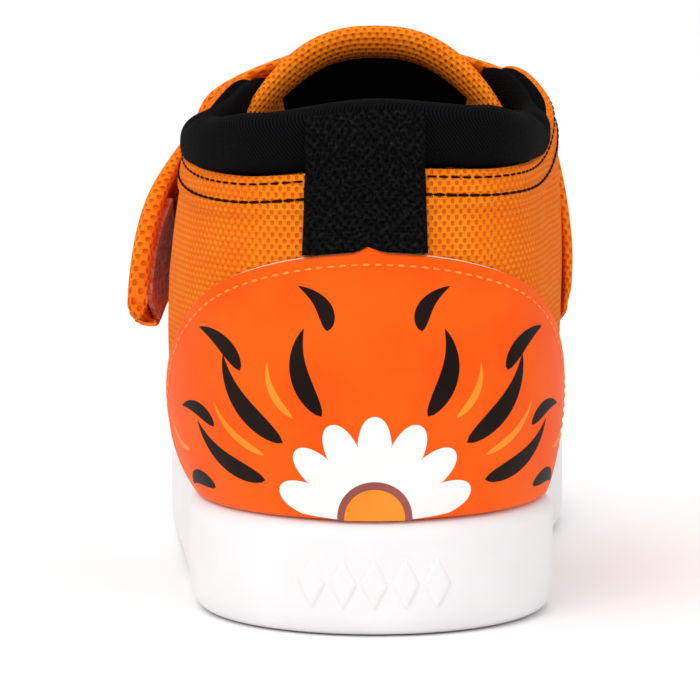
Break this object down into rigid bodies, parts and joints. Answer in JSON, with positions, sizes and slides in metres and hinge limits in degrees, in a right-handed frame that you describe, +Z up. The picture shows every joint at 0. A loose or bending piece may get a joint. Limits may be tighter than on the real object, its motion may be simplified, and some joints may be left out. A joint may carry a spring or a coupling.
{
  "type": "squeaky shoe",
  "caption": "small child's high-top squeaky shoe for the left foot, with a white cup sole, orange mesh upper, padded collar, printed heel panel, pull strip and strap closure",
  "frame": {"origin": "on the floor plane, under the middle of the heel, on the flat of the tread", "axes": "+Y to the toe, +X to the inner side of the foot, +Z up"},
  "size_m": [0.0729, 0.1536, 0.0897],
  "materials": {
    "white_rubber": "smooth matte white rubber",
    "black_lining": "flat black textile",
    "orange_mesh": "orange air mesh with small staggered cells",
    "black_knit": "fine black twill knit over padding",
    "printed_leather": "smooth printed synthetic leather with a soft sheen",
    "black_webbing": "coarse black webbing",
    "hook_tape": "reddish hook and loop tape"
  },
  "bodies": {
    "root": {"cup_sole": "white_rubber", "insole": "black_lining", "upper": "orange_mesh", "collar": "black_knit", "heel_panel": "printed_leather", "pull_strip": "black_webbing", "tongue": "orange_mesh", "strap": "orange_mesh", "hook_pad": "hook_tape", "loop_pad": "hook_tape"}
  },
  "joints": []
}
